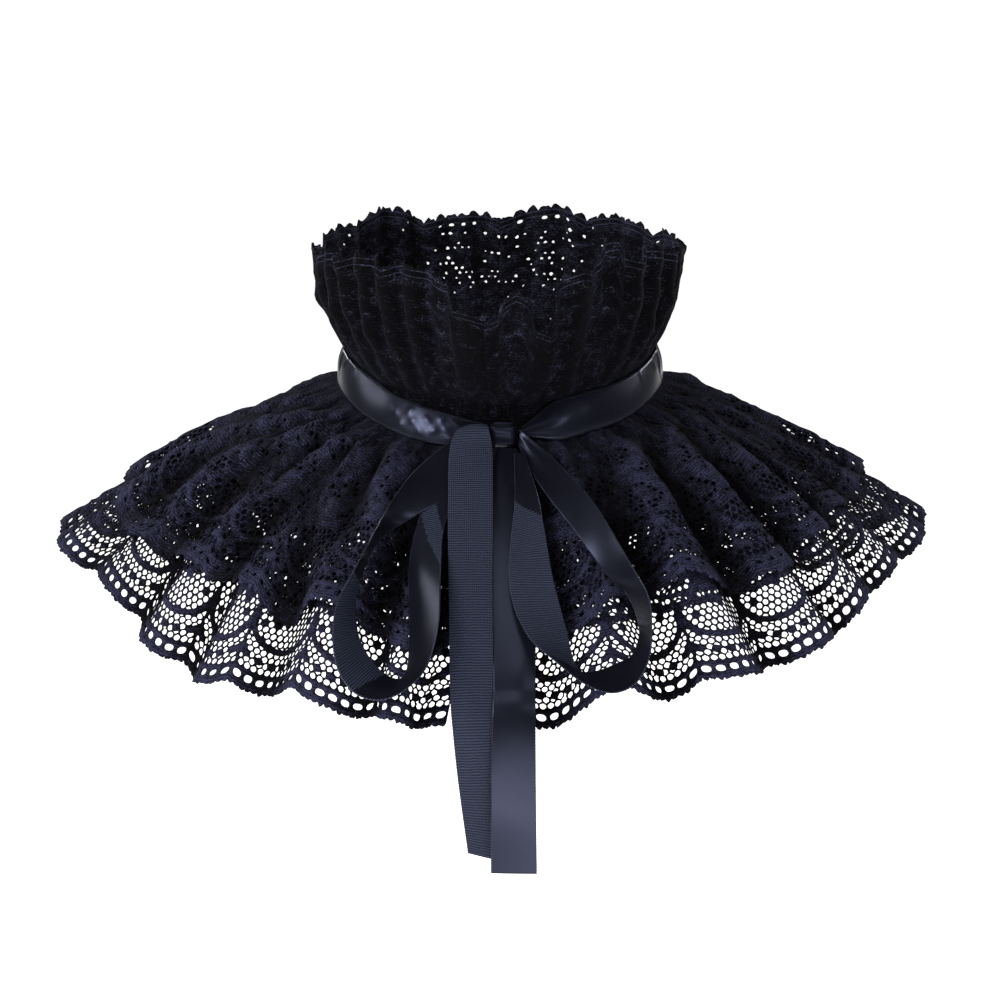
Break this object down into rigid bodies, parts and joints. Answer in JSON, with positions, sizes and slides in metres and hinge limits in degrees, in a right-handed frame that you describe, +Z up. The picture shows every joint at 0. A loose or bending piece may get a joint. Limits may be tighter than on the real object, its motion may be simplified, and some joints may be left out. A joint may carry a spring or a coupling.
{
  "type": "lace collar",
  "caption": "Gathered lace collar in worn form: a pleated stand-up ruff over two flared lace tiers with scalloped hems, tied at centre front with a satin ribbon bow.",
  "frame": {"origin": "centre of the neck ring, where the collar closes round the wearer's neck under its ribbon neckband", "axes": "+Z up along the neck, -Y the wearer's front where the collar opens and the bow hangs, +X towards the right of the picture, along the collar's width"},
  "size_m": [0.3809, 0.2848, 0.2467],
  "materials": {
    "black_lace": "matt guipure and net lace, near-black navy",
    "satin_ribbon": "satin ribbon, twill-woven back, near-black navy"
  },
  "bodies": {
    "root": {"tier_lower_left": "black_lace", "tier_lower_right": "black_lace", "tier_upper_left": "black_lace", "tier_upper_right": "black_lace", "ruff_left": "black_lace", "ruff_right": "black_lace", "ribbon_neckband": "satin_ribbon", "ribbon_knot": "satin_ribbon", "ribbon_loop_left": "satin_ribbon", "ribbon_loop_right": "satin_ribbon", "ribbon_tail_left": "satin_ribbon", "ribbon_tail_right": "satin_ribbon"}
  },
  "joints": []
}
